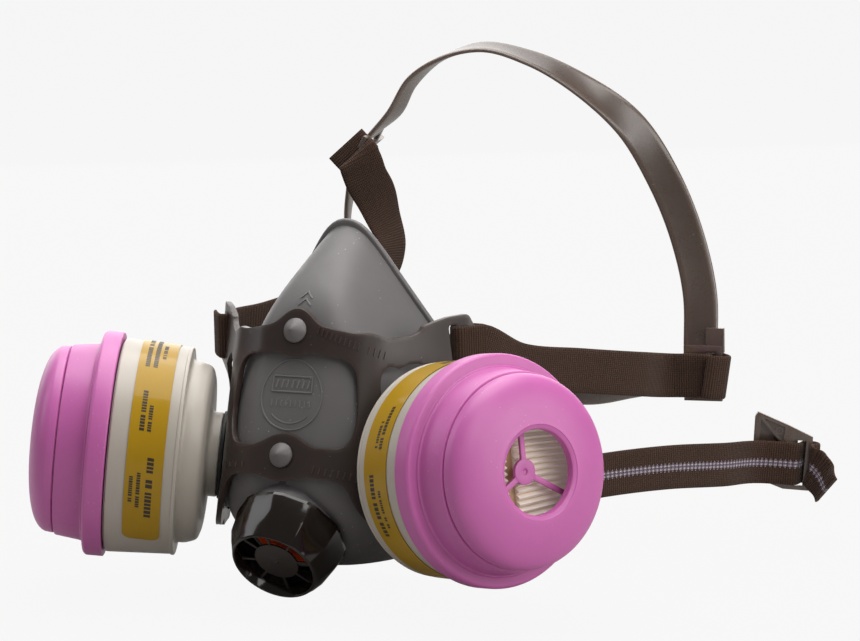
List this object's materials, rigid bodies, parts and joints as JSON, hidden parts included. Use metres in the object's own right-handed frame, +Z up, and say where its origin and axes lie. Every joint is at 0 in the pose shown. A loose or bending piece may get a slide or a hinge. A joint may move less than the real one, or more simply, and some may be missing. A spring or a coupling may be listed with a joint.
{
  "type": "half-mask respirator",
  "caption": "Elastomeric half-mask with screw-on cheek cartridges, one-way valves, a clip-on valve guard, a moulded yoke and an elastic harness with a head cradle.",
  "frame": {"origin": "centre of the face opening, midway between the cheeks", "axes": "+Z up towards the nose, -Y out of the mask's front, +X towards the wearer's left cartridge"},
  "size_m": [0.2674, 0.2339, 0.1969],
  "materials": {
    "face_rubber": "soft matt grey elastomer",
    "yoke_plastic": "satin dark brown moulding",
    "port_plastic": "satin grey moulding",
    "canister_grey": "satin off-white shell",
    "filter_pink": "glossy magenta moulding",
    "label_gold": "coated olive-gold label",
    "pleat_paper": "cream pleated filter paper",
    "charcoal": "black granular bed",
    "mesh_screen": "white felt screen",
    "valve_silicone": "translucent white silicone flap",
    "valve_red": "orange-red silicone flap",
    "guard_black": "polished black moulding",
    "cradle_plastic": "glossy dark brown strip",
    "elastic_web": "ribbed dark brown elastic webbing",
    "seal_rubber": "black rubber"
  },
  "bodies": {
    "mask": {"facepiece": "face_rubber", "harness_yoke": "yoke_plastic", "exhalation_seat": "port_plastic", "head_cradle": "cradle_plastic", "neck_buckle_hook": "cradle_plastic", "neck_buckle_eye": "cradle_plastic", "inhalation_connector_R": "port_plastic", "upper_strap_R": "elastic_web", "neck_strap_R": "elastic_web", "inhalation_connector_L": "port_plastic", "upper_strap_L": "elastic_web", "neck_strap_L": "elastic_web"},
    "gasket_R": {"neck_gasket_R": "seal_rubber"},
    "cartridge_R": {"cartridge_canister_R": "canister_grey", "sorbent_bed_R": "charcoal", "bed_screen_back_R": "mesh_screen", "bed_screen_front_R": "mesh_screen", "cartridge_label_R": "label_gold", "filter_housing_R": "filter_pink", "filter_media_R": "pleat_paper", "filter_spider_R": "filter_pink", "filter_cover_R": "filter_pink"},
    "inhalation_flap_R": {"inhalation_valve_R": "valve_silicone"},
    "gasket_L": {"neck_gasket_L": "seal_rubber"},
    "cartridge_L": {"cartridge_canister_L": "canister_grey", "sorbent_bed_L": "charcoal", "bed_screen_back_L": "mesh_screen", "bed_screen_front_L": "mesh_screen", "cartridge_label_L": "label_gold", "filter_housing_L": "filter_pink", "filter_media_L": "pleat_paper", "filter_spider_L": "filter_pink", "filter_cover_L": "filter_pink"},
    "inhalation_flap_L": {"inhalation_valve_L": "valve_silicone"},
    "exhalation_flap": {"exhalation_valve": "valve_red"},
    "guard": {"valve_guard": "guard_black"}
  },
  "joints": [
    {"name": "cartridge_travel_R", "type": "slide", "parent": "mask", "child": "gasket_R", "axis": [0.8962, -0.4275, 0.1184], "range_m": [0, 0.004]},
    {"name": "cartridge_unscrew_R", "type": "hinge", "parent": "gasket_R", "child": "cartridge_R", "pos_m": [0.047, -0.04, -0.02], "axis": [0.8962, -0.4275, 0.1184], "range_deg": [0, 400]},
    {"name": "inhalation_lift_R", "type": "slide", "parent": "mask", "child": "inhalation_flap_R", "axis": [-0.8962, 0.4275, -0.1184], "range_m": [0, 0.0015], "stiffness_N_per_m": 20, "springref_m": -0.0005},
    {"name": "cartridge_travel_L", "type": "slide", "parent": "mask", "child": "gasket_L", "axis": [-0.8962, -0.4275, 0.1184], "range_m": [0, 0.004]},
    {"name": "cartridge_unscrew_L", "type": "hinge", "parent": "gasket_L", "child": "cartridge_L", "pos_m": [-0.047, -0.04, -0.02], "axis": [-0.8962, -0.4275, 0.1184], "range_deg": [0, 400]},
    {"name": "inhalation_lift_L", "type": "slide", "parent": "mask", "child": "inhalation_flap_L", "axis": [0.8962, 0.4275, -0.1184], "range_m": [0, 0.0015], "stiffness_N_per_m": 20, "springref_m": -0.0005},
    {"name": "exhalation_lift", "type": "slide", "parent": "mask", "child": "exhalation_flap", "axis": [0, -0.8191, -0.5736], "range_m": [0, 0.002], "stiffness_N_per_m": 20, "springref_m": -0.0005},
    {"name": "guard_pull_off", "type": "slide", "parent": "mask", "child": "guard", "axis": [0, -0.8191, -0.5736], "range_m": [0, 0.01]}
  ],
  "couplings": [
    {"joint": "cartridge_travel_R", "follows": "cartridge_unscrew_R", "m_per_rad": 0.0004775},
    {"joint": "cartridge_travel_L", "follows": "cartridge_unscrew_L", "m_per_rad": 0.0004775}
  ]
}
